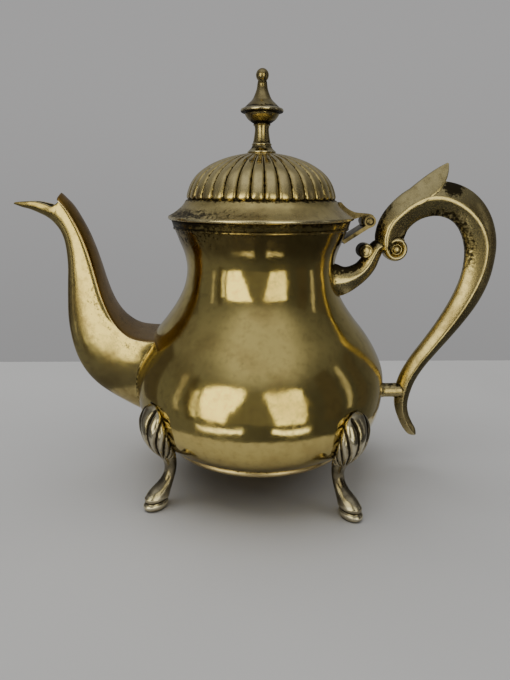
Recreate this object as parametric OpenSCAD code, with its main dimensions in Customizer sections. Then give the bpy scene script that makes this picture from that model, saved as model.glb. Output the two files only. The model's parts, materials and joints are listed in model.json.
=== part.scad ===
// Footed brass coffee pot with a gadrooned hinged lid, a channel spout and a scrolled handle.
// The origin is on the table under the pot's axis. +X points to the handle, -X to the spout, +Z up.

/* [Body] */
// Largest diameter of the spun belly
belly_d = 150; // [148:1:152]
// Thickness of the spun sheet
wall = 1.5; // [1.2:0.1:1.8]
/* [Strainer] */
// Diameter of each strainer hole behind the spout
strainer_hole_d = 3; // [2:0.5:3.5]
// Distance between neighbouring strainer holes
strainer_pitch = 6; // [5.5:0.5:6.5]
/* [Spout] */
// Thickness of the spout's sheet
spout_wall = 1.2; // [1:0.1:1.5]
/* [Handle] */
// Width of the handle across its side ridges
handle_w = 14.4; // [12:0.4:16]
/* [Legs] */
// Angle that the four legs are turned away from the diagonals
leg_turn = 6; // [0:1:8]
// Width of a shell knee
knee_w = 26; // [22:1:28]
// Number of ribs on a shell knee
knee_ribs = 9; // [7:2:11]
/* [Lid] */
// Number of gadroons round the dome
gadroons = 36; // [24:2:36]
// Depth of the valley between two gadroons
gadroon_depth = 1.2; // [0.6:0.1:1.3]
// Thickness of the lid's sheet
lid_wall = 1.2; // [1:0.1:1.4]
// Gap between the closed lid and the rim
lid_gap = 0.3; // [0.2:0.1:0.4]
/* [Hinge] */
// Diameter of the hinge pin
pin_d = 3; // [2.6:0.1:3.2]
// Width of the hinge over its knuckles
hinge_w = 16; // [15:1:18]

/* [Hidden] */
$fn = 96;

belly_r = belly_d / 2;
bottom_z = 22.5;
bowl_z = 26;
rim_z = 156.3;
lid_z = rim_z + lid_gap;
dome_z = 167;
dome_top_z = 192;
finial_z = 196.4;
hinge_x = 61.4;
hinge_z = 156;
running_gap = 0.05;
side_gap = 0.3;

// A smooth curve through the points p, with the given number of steps between two points
function blend4(a, b, c, d, t) =
    b + t * (c - a) / 2 + t * t * (a - 5 * b / 2 + 2 * c - d / 2) + t * t * t * (3 * b - a - 3 * c + d) / 2;
function curve(p, steps) = let (n = len(p)) [
    for (i = [0:n - 2]) for (j = [0:steps - 1])
        blend4(p[max(i - 1, 0)], p[i], p[i + 1], p[min(i + 2, n - 1)], j / steps),
    p[n - 1],
];
// An arc of points, from angle a0 to angle a1
function arc(centre, r, a0, a1, steps) = [
    for (i = [0:steps]) let (a = a0 + (a1 - a0) * i / steps) centre + r * [cos(a), sin(a)],
];
// The points p moved by t to the left of the way they run
function shifted(p, t) = [
    for (i = [0:len(p) - 1])
        let (d = p[min(i + 1, len(p) - 1)] - p[max(i - 1, 0)])
        p[i] + t * [-d[1], d[0]] / norm(d),
];
function reversed(p) = [for (i = [len(p) - 1:-1:0]) p[i]];

// A solid through closed rings that all have the same number of points
module loft(rings) {
    n = len(rings[0]);
    last = (len(rings) - 1) * n;
    sides = [
        for (i = [0:len(rings) - 2]) for (j = [0:n - 1])
            let (a = i * n + j, b = i * n + (j + 1) % n) each [[a, b, b + n], [a, b + n, a + n]],
    ];
    polyhedron([for (r = rings) each r], concat(sides, cap(n, 0, -1), cap(n, last, 1)));
}
// Triangles that close a ring of n points, point j paired with point n - 1 - j
function cap(n, first, way) = [
    for (j = [0:n / 2 - 2])
        let (a = first + j, b = a + 1, c = first + n - 2 - j, d = c + 1)
        each (way > 0 ? [[a, b, c], [a, c, d]] : [[c, b, a], [d, c, a]]),
];
// A point of a station [x, z, tilt, half depth, half width]; depth and width are fractions from -1 to 1
function on_station(s, depth, width) =
    [s[0] + s[3] * depth * cos(s[2]), s[4] * width, s[1] + s[3] * depth * sin(s[2])];
// Section with a sharp ridge on each side
function ridged_ring(s, n) = [
    for (i = [0:n - 1]) let (a = 360 * i / n)
        on_station(s, cos(a), sign(sin(a)) * pow(1 - abs(cos(a)), 0.6)),
];
function oval_ring(s, n) = [for (i = [0:n - 1]) on_station(s, cos(360 * i / n), sin(360 * i / n))];

// Outline of the body from the bottom up, as [radius, height]
BODY_POINTS = [
    [55.2, bowl_z], [63, 30.2], [69.5, 37.5], [belly_r - 1.5, 47], [belly_r, 59], [belly_r - 0.8, 69.5],
    [belly_r - 4.8, 79.5], [64, 89.5], [56, 99.5], [49.2, 109.3], [44.7, 118.8], [42.9, 128.5],
    [44, 137], [46.6, 144.3], [49.1, 151],
];
NECK_TOP = [50, 155.3];
BODY_STEPS = 4;
BODY_OUTER = curve(BODY_POINTS, BODY_STEPS);
BODY_INNER = shifted(BODY_OUTER, wall);
collar_inner_r = NECK_TOP[0] - wall;
// The body is spun as three bands, which are brazed at these points of BODY_POINTS and polished flush
BELLY_JOINT = 4;
SHOULDER_JOINT = 8;
// Faceted cuts turn a circle into a polygon, and this much larger one lies outside the circle
FACET_MARGIN = 1.0006;

// Everything inside the body's outer surface, its radii multiplied by margin
module body_core(margin = 1) {
    outline = concat([[0, bowl_z]], BODY_OUTER, [NECK_TOP, [0, NECK_TOP[1]]]);
    rotate_extrude() polygon([for (p = outline) [p[0] * margin, p[1]]]);
}

// Sheet between two points of BODY_POINTS, with extra outline points at its top and at its bottom
module body_band(first, last, top = [], bottom = []) {
    between = [first * BODY_STEPS:last * BODY_STEPS];
    rotate_extrude() polygon(concat(
        [for (i = between) BODY_OUTER[i]], top, reversed([for (i = between) BODY_INNER[i]]), bottom
    ));
}

module body_bowl() {
    color("#b39a4b") difference() {
        body_band(0, BELLY_JOINT, bottom = [[BODY_POINTS[0][0] - wall, bowl_z]]);
        strainer_holes();
    }
}

module body_shoulder() {
    color("#b39a4b") difference() {
        body_band(BELLY_JOINT, SHOULDER_JOINT);
        strainer_holes();
    }
}

module body_neck() {
    color("#b39a4b")
        body_band(SHOULDER_JOINT, len(BODY_POINTS) - 1, top = [NECK_TOP, [collar_inner_r, NECK_TOP[1]]]);
}

// Hexagonal field of holes through the wall behind the spout
module strainer_holes() {
    rings = 2;
    field_z = 66.5;
    for (i = [-rings:rings]) for (j = [-rings:rings])
        if (abs(i + j) <= rings)
            translate([-belly_r + 12, strainer_pitch * (i + j / 2), field_z + strainer_pitch * j * sin(60)])
                rotate([0, -90, 0]) cylinder(d = strainer_hole_d, h = 20, $fn = 24);
}

// Flat bottom disc with a rounded bead round its edge
module base_plate() {
    bead_r = 2.2;
    edge_r = 55;
    step_r = 53.6;
    floor_t = 2;
    bead_top = asin((bowl_z - bottom_z - bead_r) / bead_r);
    color("#7d6330") rotate_extrude() polygon(concat(
        [[0, bottom_z + floor_t], [0, bottom_z]],
        arc([edge_r, bottom_z + bead_r], bead_r, -90, bead_top, 10),
        [[step_r, bowl_z], [step_r, bottom_z + floor_t]]
    ));
}

// Band round the mouth of the neck
module rim_collar() {
    color("#a08c48") rotate_extrude() polygon([
        [49.1, 151], [49.8, 151.5], [51, rim_z], [collar_inner_r, rim_z],
        [collar_inner_r, NECK_TOP[1]], NECK_TOP,
    ]);
}

// Spout stations [reach, height] of the top edge and of the underside, then the half width
SPOUT_POINTS = [
    [60, 88.4, 66, 37, 20.5], [67, 88.6, 73.5, 40.5, 20.2], [74.5, 90, 83, 45.8, 18.8],
    [80, 93.2, 91.5, 51, 17], [84.8, 98.2, 99.5, 57, 15], [88.4, 104.2, 106, 64.5, 13.4],
    [91.2, 111.2, 110.7, 74, 12.2], [93.5, 119.3, 113.5, 86, 11.2], [95.6, 128.3, 114.4, 99.5, 10.2],
    [98.1, 137.8, 113.3, 115, 9.4], [101.2, 147, 111.8, 130, 8.8], [104.9, 155.2, 112.1, 142, 8.3],
    [108.3, 161.3, 114, 149, 8], [112, 165.5, 117.4, 154, 7.5], [116.3, 163, 120.5, 156.8, 6.6],
    [120.3, 164.2, 124.2, 158.8, 5.5], [126.5, 165.5, 129.8, 161.2, 4.2], [132.5, 165.4, 134.6, 162.5, 2.8],
];
// The top plate covers the stations up to this one, and the beak beyond it is an open trough
PLATE_END = 13;

// A point of the channel's section: width fraction across, depth fraction from the top edge down
function spout_at(s, width, depth) = [
    -(s[0] + (s[2] - s[0]) * depth), s[4] * width, s[1] + (s[3] - s[1]) * depth,
];
function spout_depth(s) = norm([s[2] - s[0], s[3] - s[1]]);
// One side of the channel's U, an oval slightly squared, from one top edge round to the other
function spout_u(s, width, depth, n, way) = [
    for (i = [0:n]) let (a = way > 0 ? 180 * i / n : 180 - 180 * i / n)
        spout_at(s, width * sign(cos(a)) * pow(abs(cos(a)), 0.85), depth * pow(sin(a), 0.9)),
];
function spout_ring(s) =
    let (w = min(spout_wall, s[4] * 0.45), d = min(spout_wall, spout_depth(s) * 0.4))
    concat(spout_u(s, 1, 1, 10, 1), spout_u(s, 1 - w / s[4], 1 - d / spout_depth(s), 10, -1));

module spout_channel() {
    tip = [handle_reach - 1, 165.1, handle_reach, 164.2, 1.2];
    color("#b39a4b") difference() {
        loft([for (s = concat(SPOUT_POINTS, [tip])) spout_ring(s)]);
        body_core();
    }
}

// Arched strip that closes the channel, with a rounded end at the beak
module spout_top_plate() {
    tongue = [[0.86, 1.3, 1.9], [0.5, 2.3, 2.4]];
    last = SPOUT_POINTS[PLATE_END];
    along = [last[0], last[1]] - [SPOUT_POINTS[PLATE_END - 1][0], SPOUT_POINTS[PLATE_END - 1][1]];
    way = along / norm(along);
    ends = [
        for (t = tongue) [last[0] + way[0] * t[1], last[1] + way[1] * t[1],
            last[2] + way[0] * t[1], last[3] + way[1] * t[1], last[4] * t[0]],
    ];
    stations = concat([for (i = [0:PLATE_END]) SPOUT_POINTS[i]], ends);
    color("#8c7434") difference() {
        loft([for (i = [0:len(stations) - 1]) plate_ring(stations[i], 2.2 * min(i / 8, 1))]);
        body_core();
    }
}
// Section of the plate: flat edges on the channel and a crown of the given height between them
function plate_ring(s, crown) = let (
    d = spout_depth(s),
    across = [-1, -0.9, -0.6, -0.3, 0, 0.3, 0.6, 0.9, 1],
    under = [for (u = across) spout_at(s, u, -crown * max(0, 1 - pow(u / 0.9, 2)) / d)],
    over = [for (u = reversed(across)) spout_at(s, u, -(crown * max(0, 1 - pow(u, 2)) + spout_wall) / d)]
) concat(under, over);

// Handle stations [x, z, tilt of the outer side, half depth, half width as a part of handle_w]
HANDLE_POINTS = [
    [75.3, 140.5, 190, 7, 0.42], [75.3, 147, 178, 8.5, 0.46], [77.1, 153.8, 160, 8.7, 0.48],
    [81.3, 159.8, 140, 8.8, 0.5], [87.8, 165, 122, 9.2, 0.5], [96, 168.2, 104, 9.7, 0.5],
    [105, 168.4, 86, 9.7, 0.5], [114.1, 165.6, 68, 9.6, 0.5], [121.4, 160, 48, 9.5, 0.5],
    [126.7, 152, 27, 9.4, 0.49], [129.7, 142.5, 10, 9.2, 0.48], [130.2, 133, -3, 8.8, 0.46],
    [128.9, 122.5, -12, 8.5, 0.45], [125.2, 111.5, -22, 8, 0.44], [119.5, 100.5, -31, 7.2, 0.42],
    [112.8, 89.8, -35, 6.4, 0.4], [105.5, 79.3, -36, 5.8, 0.38], [98.5, 69, -34, 5.5, 0.36],
    [93.5, 59, -22, 5.3, 0.34], [91.2, 49, -6, 4.8, 0.32], [91.3, 40, 8, 4, 0.29],
    [93.6, 32.5, 26, 3.5, 0.25], [96.7, 26.5, 38, 3.4, 0.22], [99.8, 22.3, 45, 2.9, 0.18],
    [102.2, 19.9, 45, 1, 0.07],
];
LEAF_POINTS = [
    [84, 166.3, 128, 7.6, 0.46], [92, 170.6, 122, 7, 0.42], [97.9, 175.6, 122, 5.6, 0.35],
    [102.2, 180.3, 122, 3.8, 0.25], [104.6, 184.4, 122, 1.9, 0.14], [106.2, 187.6, 122, 0.5, 0.04],
];
VOLUTE = [78.8, 140];
volute_r = 7.4;
// A handle station with its half width in millimetres
function handle_station(s) = [s[0], s[1], s[2], s[3], s[4] * handle_w];
HANDLE_RINGS = [for (s = curve(HANDLE_POINTS, 2)) ridged_ring(handle_station(s), 16)];
handle_reach = max([for (ring = HANDLE_RINGS) for (p = ring) p[0]]);

// Round disc across the handle, used to build the scrolls
module scroll_disc(at, r, w, sides) {
    translate([at[0], w / 2, at[1]]) rotate([90, 0, 0]) cylinder(r = r, h = w, $fn = sides);
}

// The volute is a spiral of discs that shrink as they turn in
module handle_shape() {
    turns = 10;
    loft(HANDLE_RINGS);
    loft([for (s = curve(LEAF_POINTS, 2)) ridged_ring(handle_station(s), 16)]);
    for (i = [0:turns - 1]) hull() {
        scroll_disc(volute_at(i / turns), volute_r - 3.2 - 1.2 * i / turns, handle_w * 0.82, 20);
        scroll_disc(volute_at((i + 1) / turns), volute_r - 3.2 - 1.2 * (i + 1) / turns, handle_w * 0.82, 20);
    }
    scroll_disc(VOLUTE, volute_r - 1, handle_w * 0.78, 28);
}
function volute_at(t) = VOLUTE + 3.2 * [cos(170 + 260 * t), sin(170 + 260 * t)];

module handle() {
    color("#8f8146") difference() {
        handle_shape();
        scroll_disc(VOLUTE, volute_pin_r, handle_w + 4, 28);
    }
}

// Pin through the eye of the volute, with a ringed head on each side
volute_pin_r = 1.6;
module handle_volute_pin() {
    face = handle_w * 0.82 / 2;
    half_line = [[0, 0], [volute_pin_r, 0], [volute_pin_r, face], [4.2, face], [4.2, face + 0.7],
        [3.5, face + 1.1], [2.9, face + 0.6], [2.1, face + 0.6], [1.5, face + 1.3], [0, face + 1.5]];
    color("#a8934d") translate([VOLUTE[0], 0, VOLUTE[1]]) for (side = [-90, 90])
        rotate([side, 0, 0]) rotate_extrude($fn = 28) polygon(half_line);
}

// Bracket stations [x, z, radius across, half width] from the neck to the volute
BRACKET_POINTS = [
    [42, 121.2, 10.6, 5.6], [48.5, 121.3, 8.8, 5.2], [54, 123, 7, 5], [59.6, 126.6, 5.8, 5],
    [63.3, 131, 5.3, 5], [65.8, 136.3, 4.8, 5.2], [68.5, 141, 4.2, 5.2],
];
module upper_bracket() {
    line = curve(BRACKET_POINTS, 2);
    color("#85763c") difference() {
        union() {
            for (i = [0:len(line) - 2]) hull() {
                scroll_disc(line[i], line[i][2], line[i][3] * 2, 20);
                scroll_disc(line[i + 1], line[i + 1][2], line[i + 1][3] * 2, 20);
            }
            scroll_disc([60.6, 139.3], 3.9, 11, 20);
        }
        body_core(FACET_MARGIN);
        handle_shape();
    }
}

// Short bar with a flared root on the belly
module lower_bracket() {
    at_z = 51;
    from_x = 66;
    bar = curve([[7.4, 0], [7, 6.5], [5.6, 9.2], [4.6, 12.5], [4.4, 16], [4.6, 24]], 3);
    color("#85763c") difference() {
        translate([from_x, 0, at_z]) rotate([0, 90, 0]) rotate_extrude($fn = 28)
            polygon(concat([[0, 0]], bar, [[0, 24]]));
        body_core(FACET_MARGIN);
        handle_shape();
    }
}

// Leg stations [distance from the axis, z, tilt of the outer side, half depth, half width as a part of knee_w]
LEG_POINTS = [
    [75.2, 62, 32, 0.8, 0.09], [76, 58.8, 26, 3.2, 0.27], [76.6, 53.2, 12, 5.5, 0.36], [76, 47.6, 0, 6.3, 0.38],
    [74.3, 42, -12, 6.3, 0.355], [71.6, 36.8, -22, 5.6, 0.3], [68.7, 31.8, -24, 4.5, 0.23],
    [66.9, 27, -14, 3.6, 0.178], [66.5, 22.2, 4, 3.15, 0.152], [67.8, 17.2, 22, 3.15, 0.145],
    [70.5, 12.8, 30, 4, 0.162], [73.8, 9.2, 24, 6, 0.182], [76.2, 6, 10, 7.4, 0.2], [76.8, 3, 0, 7.1, 0.2],
    [77.2, 0, 0, 5.8, 0.17],
];
// A leg station with its half width in millimetres
function leg_station(s) = [s[0], s[1], s[2], s[3], s[4] * knee_w];
module leg(azimuth) {
    stations = [for (s = LEG_POINTS) leg_station(s)];
    rib_ends = [1, 2, 3, 4, 5];
    color("#8d8458") difference() {
        rotate([0, 0, azimuth]) {
            loft([for (s = stations) oval_ring(s, 16)]);
            for (i = [0:knee_ribs - 1], k = [0:len(rib_ends) - 2]) {
                around = -75 + 150 * i / (knee_ribs - 1);
                hull() {
                    rib_ball(stations[rib_ends[k]], around, 1.2 - 0.2 * k);
                    rib_ball(stations[rib_ends[k + 1]], around, 1 - 0.2 * k);
                }
            }
        }
        body_core(FACET_MARGIN);
    }
}
// Small ball half sunk in the leg's outer surface
module rib_ball(s, around, r) {
    translate(on_station(s, cos(around), sin(around))) sphere(r = r, $fn = 6);
}
module leg_front_right() { leg(-45 - leg_turn); }
module leg_front_left() { leg(-135 - leg_turn); }
module leg_back_left() { leg(135 - leg_turn); }
module leg_back_right() { leg(45 - leg_turn); }

// Outline of the lid's flare from the rim up, and of the dome above it
FLARE_LINE = curve([[52.1, 158.65], [49.4, 160.2], [46.9, 162], [44.2, 164.5], [42.6, dome_z]], 3);
FLARE_INNER = shifted(FLARE_LINE, lid_wall);
DOME_LINE = curve([
    [42.4, dome_z], [42.2, 168.5], [41.3, 172], [39.4, 176.4], [36.2, 180.6], [31.8, 184.1], [25.6, 187.5],
    [17.5, 190.3], [9, dome_top_z],
], 1);

// Flared ring with a rolled edge
rim_bead_r = 1.1;
RIM_BEAD = [51.7, lid_z + rim_bead_r];
module lid_flange() {
    flare = [for (i = [0:len(FLARE_LINE) - 2]) FLARE_LINE[i]];
    inner = [for (i = [0:len(FLARE_INNER) - 2]) FLARE_INNER[i]];
    top_r = DOME_LINE[0][0];
    color("#a8934d") rotate_extrude() polygon(concat(
        [[top_r - lid_wall, dome_z], [top_r, dome_z]],
        reversed(flare),
        arc(RIM_BEAD, rim_bead_r, 60, -190, 12),
        inner
    ));
}

// Upright ring that drops inside the neck and keeps the lid centred
module lid_locating_ring() {
    outer = FLARE_INNER[6];
    inner = FLARE_INNER[7];
    foot_z = 151;
    color("#8a733a") rotate_extrude()
        polygon([[inner[0], foot_z], [outer[0], foot_z], outer, inner]);
}

// Pressed dome: convex gadroons outside, smooth inside, with a flat land under the finial
module lid_dome() {
    n = gadroons * 4;
    land_z = dome_top_z - lid_wall;
    rows = len(DOME_LINE);
    inner = shifted(DOME_LINE, gadroon_depth + lid_wall / 2);
    color("#a8934d") difference() {
        loft([for (i = [rows - 1:-1:0]) dome_ring(DOME_LINE[i], gadroon_depth * fade(i / (rows - 1)), n)]);
        rotate_extrude() polygon(concat(
            [[0, dome_z - 1], [inner[0][0], dome_z - 1]],
            [for (i = [1:rows - 2]) inner[i]],
            [[inner[rows - 1][0], land_z], [0, land_z]]
        ));
        translate([0, 0, land_z - 1]) cylinder(r = finial_screw_r + 0.3, h = 2 * lid_wall + 1);
    }
}
// The gadroons start above the flange and die out near the land
function fade(t) = t <= 0 || t >= 1 ? 0 : min(1, (1 - t) * 3);
function dome_ring(at, depth, n) = [
    for (j = [0:n - 1]) let (
        a = 360 * j / n,
        r = at[0] - depth * (1 - abs(sin(a * gadroons / 2)))
    ) [r * cos(a), r * sin(a), at[1]],
];

// Turned foot of the finial
finial_screw_r = 1.95;
module finial_collar() {
    color("#8f8146") rotate_extrude() polygon([
        [finial_screw_r + 0.15, dome_top_z], [7.6, dome_top_z], [7.9, 192.4], [7.9, 192.9], [7.3, 193.5],
        [6.2, 194.4], [5.5, 195.4], [5.1, finial_z], [finial_screw_r + 0.15, finial_z],
    ]);
}

// Turned knob: waisted stem, cup, disc, concave spire and ball
module finial() {
    hole_top_z = 206;
    ball_r = 3.45;
    ball_z = 235 - ball_r;
    stem = curve([[5, 197.6], [4.3, 200.5], [3.85, 204.2], [4.2, 206.4]], 3);
    cup = curve([[4.5, 207.6], [7, 209.2], [8.9, 211.3], [9.5, 212.6]], 3);
    spire = curve([[9.6, 215.6], [7.6, 217.4], [5.3, 219.6], [3.9, 222.4], [3, 225], [2.7, 227.4]], 3);
    color("#8f8146") rotate_extrude() polygon(concat(
        [[0, hole_top_z], [finial_screw_r + running_gap, hole_top_z], [finial_screw_r + running_gap, finial_z]],
        [[5.1, finial_z], [5.3, 197]],
        stem, [[4.6, 206.7], [4.7, 207.2]], cup,
        [[11, 212.9]], arc([10.9, 213.9], 0.8, -60, 80, 5), spire,
        arc([0, ball_z], ball_r, -50, 90, 14)
    ));
}

module finial_washer() {
    color("#9a8650") rotate_extrude() polygon([
        [finial_screw_r + 0.15, 189.8], [6, 189.8], [6, dome_top_z - lid_wall],
        [finial_screw_r + 0.15, dome_top_z - lid_wall],
    ]);
}

// Screw from inside the lid into the finial, with a slotted head
module finial_screw() {
    head_z = 189.8;
    color("#9a8650") difference() {
        union() {
            translate([0, 0, head_z]) cylinder(r = finial_screw_r, h = 15.6);
            translate([0, 0, head_z - 2.4]) cylinder(r1 = 3.2, r2 = 3.8, h = 2.4);
        }
        translate([-5, -0.5, head_z - 3]) cube([10, 1, 1.6]);
    }
}

// Hinge: the lid's strap carries the middle knuckle, the pot's leaf the two outer ones
knuckle_w = 6.2;
strap_w = 12;
body_knuckle_r = 3.3;
lid_knuckle_r = 4.1;
bore_d = pin_d + 2 * running_gap;
module hinge_cylinder(r, y0, y1) {
    translate([hinge_x, y1, hinge_z]) rotate([90, 0, 0]) cylinder(r = r, h = y1 - y0);
}

// Everything inside the lid's outer surface
module lid_core() {
    rotate_extrude() polygon(concat(
        [[0, lid_z]], arc(RIM_BEAD, rim_bead_r + 0.02, -90, 60, 12), FLARE_LINE, [[0, dome_z]]
    ));
}

module hinge_lid_leaf() {
    strap = concat(
        curve([[44.8, 166.4], [47, 164.2], [49.6, 162.4], [53, 161], [57, 160.4]], 3),
        [[hinge_x, hinge_z + lid_knuckle_r], [hinge_x, hinge_z + 1.9]],
        [[57, 158.2], [54.8, 157.9], [53.4, 157.4], [48, 157.3], [43, 166.2]]
    );
    color("#8c7e4a") difference() {
        union() {
            translate([0, strap_w / 2, 0]) rotate([90, 0, 0]) linear_extrude(strap_w)
                intersection() {
                    polygon(strap);
                    translate([0, 150]) square([hinge_x - lid_knuckle_r - 1.6, 30]);
                }
            translate([0, knuckle_w / 2, 0]) rotate([90, 0, 0]) linear_extrude(knuckle_w) polygon(strap);
            hinge_cylinder(lid_knuckle_r, -knuckle_w / 2, knuckle_w / 2);
        }
        lid_core();
        hinge_cylinder(bore_d / 2, -hinge_w, hinge_w);
    }
}

module hinge_body_leaf() {
    t = 2.2;
    lean = 33;
    reach = 18.6;
    root = pin_d / 2 + 0.7;
    slot_w = knuckle_w + 2 * side_gap;
    color("#7f7140") difference() {
        union() {
            translate([hinge_x, 0, hinge_z]) rotate([0, -lean, 0])
                translate([-reach, -hinge_w / 2, -t - 0.7]) cube([reach - root, hinge_w, t]);
            for (side = [-1, 1])
                hinge_cylinder(body_knuckle_r, min(side * slot_w, side * hinge_w) / 2,
                    max(side * slot_w, side * hinge_w) / 2);
        }
        body_core();
        hinge_cylinder(lid_knuckle_r + side_gap, -slot_w / 2, slot_w / 2);
        hinge_cylinder(bore_d / 2, -hinge_w, hinge_w);
    }
}

// Pin with a peened head at each end
module hinge_pin() {
    end = hinge_w / 2 + 0.1;
    color("#a09672") {
        hinge_cylinder(pin_d / 2, -end, end);
        for (side = [-90, 90]) translate([hinge_x, 0, hinge_z]) rotate([side, 0, 0])
            rotate_extrude($fn = 32) polygon([[0, end], [2.3, end], [2, end + 0.5], [1.2, end + 0.8], [0, end + 0.9]]);
    }
}

body_bowl();
body_shoulder();
body_neck();
base_plate();
rim_collar();
spout_channel();
spout_top_plate();
handle();
handle_volute_pin();
upper_bracket();
lower_bracket();
leg_front_right();
leg_front_left();
leg_back_left();
leg_back_right();
lid_flange();
lid_dome();
lid_locating_ring();
finial_collar();
finial();
finial_washer();
finial_screw();
hinge_lid_leaf();
hinge_body_leaf();
hinge_pin();
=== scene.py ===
"""Looks of a footed brass coffee pot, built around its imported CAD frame.

Outlines and stations are in millimetres, as the pot's drawing gives them, and every mesh is made in metres.
The frame's axes are +X to the handle, -X to the spout and +Z up, with the origin on the table under the pot.
"""

import json
import math

import bpy
import numpy as np
from mathutils import Matrix, Vector
from mathutils.bvhtree import BVHTree

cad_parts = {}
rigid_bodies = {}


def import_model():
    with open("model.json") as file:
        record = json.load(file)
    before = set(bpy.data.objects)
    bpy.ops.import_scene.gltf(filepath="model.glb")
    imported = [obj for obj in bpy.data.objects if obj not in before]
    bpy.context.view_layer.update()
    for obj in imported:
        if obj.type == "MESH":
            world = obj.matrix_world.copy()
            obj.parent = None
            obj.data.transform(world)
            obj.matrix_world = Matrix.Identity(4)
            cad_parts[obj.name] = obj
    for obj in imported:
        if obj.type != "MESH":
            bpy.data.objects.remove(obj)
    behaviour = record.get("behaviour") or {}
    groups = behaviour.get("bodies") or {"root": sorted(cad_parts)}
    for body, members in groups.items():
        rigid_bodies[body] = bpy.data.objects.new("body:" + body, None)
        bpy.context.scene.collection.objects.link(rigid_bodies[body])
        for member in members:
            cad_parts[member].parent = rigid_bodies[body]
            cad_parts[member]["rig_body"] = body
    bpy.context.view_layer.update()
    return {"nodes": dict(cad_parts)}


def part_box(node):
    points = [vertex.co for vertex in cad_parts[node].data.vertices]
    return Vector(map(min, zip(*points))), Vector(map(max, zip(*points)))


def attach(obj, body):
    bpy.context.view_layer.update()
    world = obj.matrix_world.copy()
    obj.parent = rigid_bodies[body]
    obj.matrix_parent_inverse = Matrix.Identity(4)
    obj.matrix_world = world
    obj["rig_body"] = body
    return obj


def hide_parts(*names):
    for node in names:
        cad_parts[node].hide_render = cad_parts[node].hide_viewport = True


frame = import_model()

MM = 0.001
POT = "pot"
LID = "lid"


def box_mm(node):
    """Lowest and highest corner of a CAD node, in millimetres."""
    low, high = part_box(node)
    return np.array(low) / MM, np.array(high) / MM


# ------------ curves and meshes

def curve(points, steps):
    """Smooth curve through points, with the given number of steps between two of them."""
    p = np.array(points, float)
    t = np.linspace(0, 1, steps, endpoint=False)[:, None]
    parts = []
    for i in range(len(p) - 1):
        a, b, c, d = p[max(i - 1, 0)], p[i], p[i + 1], p[min(i + 2, len(p) - 1)]
        parts.append(b + t * (c - a) / 2 + t**2 * (a - 2.5 * b + 2 * c - d / 2)
                     + t**3 * (3 * b - a - 3 * c + d) / 2)
    return np.vstack(parts + [p[-1:]])


def arc(centre, radius, start, end, steps):
    """Points of an arc in an outline, between two angles in degrees."""
    angle = np.radians(np.linspace(start, end, steps + 1))
    return np.array(centre) + radius * np.column_stack([np.cos(angle), np.sin(angle)])


def shifted(points, distance):
    """The points moved to the left of the way they run."""
    p = np.array(points, float)
    along = np.gradient(p, axis=0)
    normal = np.column_stack([-along[:, 1], along[:, 0]])
    return p + distance * normal / np.linalg.norm(normal, axis=1)[:, None]


def smoothstep(value, low, high):
    t = np.clip((np.asarray(value, float) - low) / (high - low), 0, 1)
    return t * t * (3 - 2 * t)


def get_mark(mesh, name):
    """A mark's value at each point, or 0 where the mesh has no such mark."""
    values = np.zeros(len(mesh.vertices), np.float32)
    layer = mesh.attributes.get(name)
    if layer:
        layer.data.foreach_get("value", values)
    return values


def set_mark(mesh, name, values):
    """Gives each point a value that the materials read."""
    layer = mesh.attributes.get(name) or mesh.attributes.new(name, "FLOAT", "POINT")
    layer.data.foreach_set("value", np.array(values, np.float32).ravel())


def make_piece(name, points, faces, sharp=38, **marks):
    """Mesh object from millimetre points, with its marks. Edges over the angle sharp aren't smoothed."""
    mesh = bpy.data.meshes.new(name)
    mesh.from_pydata((np.array(points, float) * MM).tolist(), [], [tuple(int(i) for i in f) for f in faces])
    mesh.update()
    mesh.shade_smooth()
    mesh.set_sharp_from_angle(angle=math.radians(sharp))
    for mark_name, values in marks.items():
        set_mark(mesh, mark_name, values)
    piece = bpy.data.objects.new(name, mesh)
    bpy.context.scene.collection.objects.link(piece)
    return piece


def grid_faces(rows, n, first=0, closed_rows=False):
    """Quads between consecutive rings of n points."""
    faces = []
    for i in range(rows if closed_rows else rows - 1):
        a, b = first + i * n, first + (i + 1) % rows * n
        faces += [(a + j, a + (j + 1) % n, b + (j + 1) % n, b + j) for j in range(n)]
    return faces


def strip_cap(n, first, flip):
    """Faces that close a ring of n points, with point j paired with point n - 1 - j."""
    faces = []
    for j in range(n // 2 - 1):
        quad = (first + j, first + j + 1, first + n - 2 - j, first + n - 1 - j)
        faces.append(quad[::-1] if flip else quad)
    return faces


def loft(rings):
    """Points and faces of a closed solid through rings of the same number of points."""
    rings = np.array(rings, float)
    rows, n = rings.shape[:2]
    faces = grid_faces(rows, n) + strip_cap(n, 0, True) + strip_cap(n, (rows - 1) * n, False)
    return rings.reshape(-1, 3), faces


def lathe(outline, segments):
    """Points and faces of a solid turned round Z. An outline that starts on the axis also ends on it."""
    outline = np.array(outline, float)
    angle = np.linspace(0, 2 * math.pi, segments, endpoint=False)
    points, rings = [], []
    for r, z in outline:
        if r < 1e-6:
            rings.append([len(points)])
            points.append((0, 0, z))
        else:
            rings.append(list(range(len(points), len(points) + segments)))
            points += [(r * math.cos(a), r * math.sin(a), z) for a in angle]
    pairs = list(zip(rings, rings[1:]))
    if outline[0][0] > 1e-6:
        pairs.append((rings[-1], rings[0]))
    faces = []
    for a, b in pairs:
        for j in range(segments):
            k = (j + 1) % segments
            if len(a) == 1:
                faces.append((a[0], b[k], b[j]))
            elif len(b) == 1:
                faces.append((a[j], a[k], b[0]))
            else:
                faces.append((a[j], a[k], b[k], b[j]))
    return np.array(points), faces


def across_y(points, at):
    """Points of a solid turned round Z, laid over so that its axis is along Y through (x, z)."""
    p = np.array(points)
    return np.column_stack([at[0] + p[:, 0], -p[:, 2], at[1] + p[:, 1]])


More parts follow.
